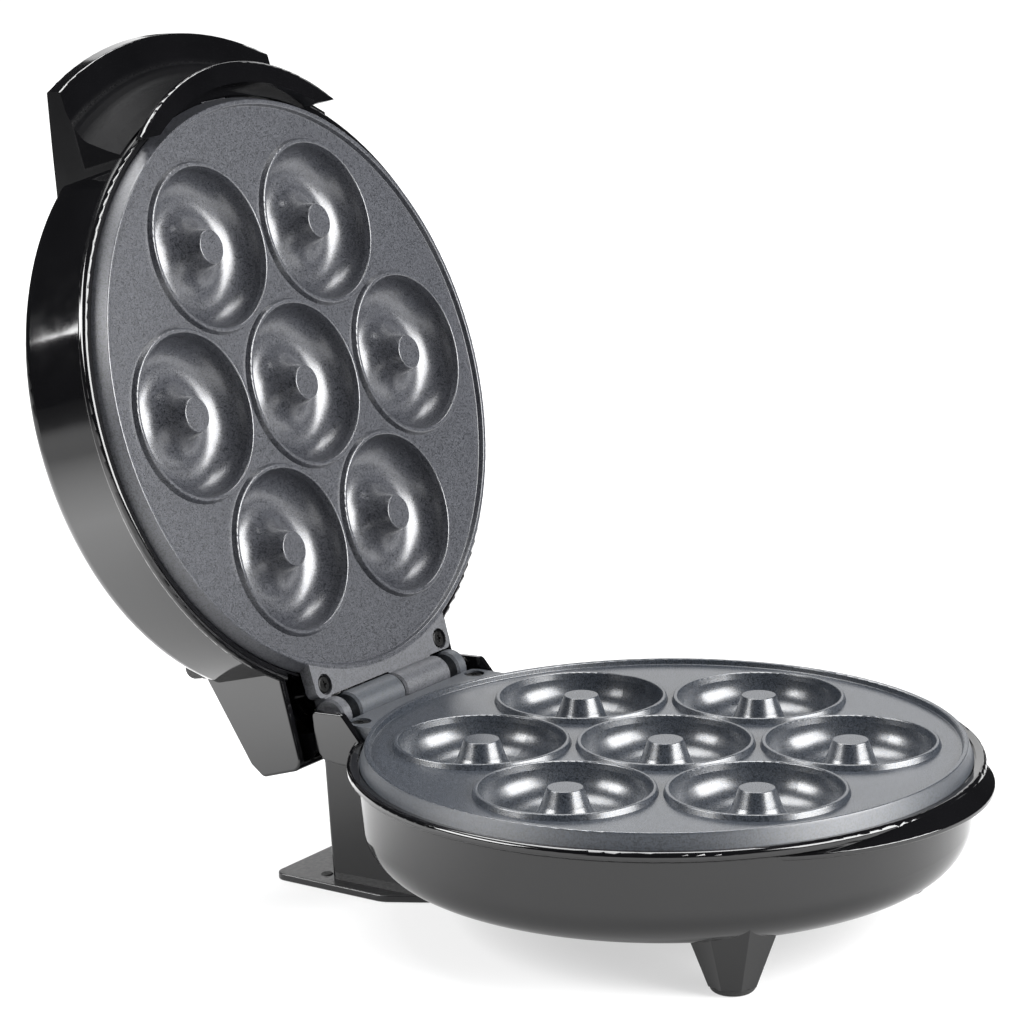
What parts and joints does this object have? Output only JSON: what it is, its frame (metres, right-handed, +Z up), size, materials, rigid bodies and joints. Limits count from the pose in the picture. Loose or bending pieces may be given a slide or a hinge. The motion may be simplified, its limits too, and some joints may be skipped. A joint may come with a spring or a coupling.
{
  "type": "donut maker",
  "caption": "Clamshell electric donut maker with ring cavities in hinged non-stick plates, a scooped lid handle, front feet and a rear leg, shown open.",
  "frame": {"origin": "on the table, under the middle of the open appliance", "axes": "+Z up, -Y towards the user, X along the hinge"},
  "size_m": [0.2148, 0.3266, 0.286],
  "materials": {
    "housing": "gloss black moulded plastic",
    "housing_matte": "satin black moulded plastic",
    "nonstick_lower": "dark grey non-stick coating on cast aluminium",
    "nonstick_upper": "dark grey speckled non-stick coating on cast aluminium",
    "pin_steel": "ground steel",
    "screw_steel": "zinc-plated steel",
    "screw_black": "blackened steel",
    "rubber": "black rubber",
    "element_sheath": "dull steel sheath",
    "ceramic": null,
    "crimp_brass": "tinned brass",
    "clip_steel": "sheet steel",
    "reflector": "bright sheet aluminium",
    "block_plastic": "natural nylon",
    "lead_white": "silicone-glass sleeving",
    "lead_green": "green sleeving",
    "fuse_case": "drawn metal case",
    "thermostat_body": "brown phenolic",
    "lens_red": "clear red plastic",
    "lens_green": "clear green plastic",
    "lamp_glass": "glass lamp"
  },
  "bodies": {
    "base": {"lower_housing": "housing", "foot_plate": "housing_matte", "lower_plate": "nonstick_lower", "hinge_pin": "pin_steel", "lower_plate_screws": "screw_black", "foot_plate_screws": "screw_steel", "rear_pads": "rubber", "front_pads": "rubber", "cord_inlet_bush": "rubber", "lower_heating_element": "element_sheath", "lower_element_insulators": "ceramic", "lower_crimps": "crimp_brass", "lower_element_clips": "clip_steel", "fuse_clip": "clip_steel", "lower_clip_screws": "screw_steel", "lower_reflector_screws": "screw_steel", "fuse_clip_screw": "screw_steel", "earth_screw": "screw_steel", "lower_reflector": "reflector", "terminal_block": "block_plastic", "lower_leads": "lead_white", "fuse_leads": "lead_white", "earth_lead": "lead_green", "thermal_fuse": "fuse_case"},
    "lid": {"upper_housing": "housing", "upper_plate": "nonstick_upper", "upper_plate_screws": "screw_black", "upper_heating_element": "element_sheath", "upper_element_insulators": "ceramic", "upper_crimps": "crimp_brass", "upper_element_clips": "clip_steel", "upper_clip_screws": "screw_steel", "upper_reflector_screws": "screw_steel", "upper_reflector": "reflector", "upper_terminal_block": "block_plastic", "upper_leads": "lead_white", "thermostat": "thermostat_body", "lamp_leads": "lead_white", "power_lens": "lens_red", "ready_lens": "lens_green", "power_lamp": "lamp_glass", "ready_lamp": "lamp_glass", "storage_studs": "rubber"}
  },
  "joints": [
    {"name": "lid_hinge", "type": "hinge", "parent": "base", "child": "lid", "pos_m": [0, 0.06303, 0.0603], "axis": [1, 0, 0], "range_deg": [0, 107]}
  ]
}
